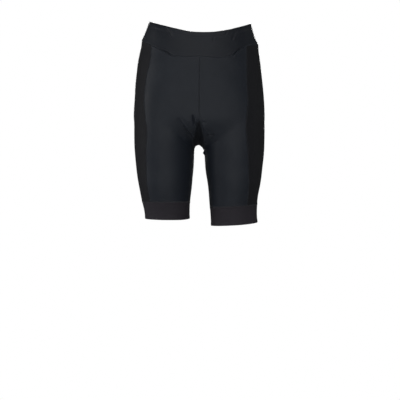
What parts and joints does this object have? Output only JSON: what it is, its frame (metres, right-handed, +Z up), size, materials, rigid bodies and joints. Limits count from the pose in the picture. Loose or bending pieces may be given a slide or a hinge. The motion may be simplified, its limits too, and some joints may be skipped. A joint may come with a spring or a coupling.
{
  "type": "cycling shorts",
  "caption": "Close-fitting knee-length shorts with a wide dipped waistband, side strips, gusset and elastic leg bands.",
  "frame": {"origin": "middle of the waist opening, level with the sides of the waist edge", "axes": "+Z up, -Y towards the front of the shorts, +X towards the wearer's left; the wearer stands upright"},
  "size_m": [0.3342, 0.225, 0.5206],
  "materials": {
    "jersey": "smooth stretch jersey, low sheen",
    "side_jersey": "smooth stretch jersey, a shade darker",
    "waistband": "doubled stretch jersey",
    "leg_band": "matt elastic gripper band"
  },
  "bodies": {
    "root": {"waistband_front": "waistband", "waistband_back": "waistband", "front_panel_right": "jersey", "front_panel_left": "jersey", "side_panel_right": "side_jersey", "side_panel_left": "side_jersey", "back_panel_right": "jersey", "back_panel_left": "jersey", "gusset": "jersey", "leg_band_right": "leg_band", "leg_band_left": "leg_band"}
  },
  "joints": []
}
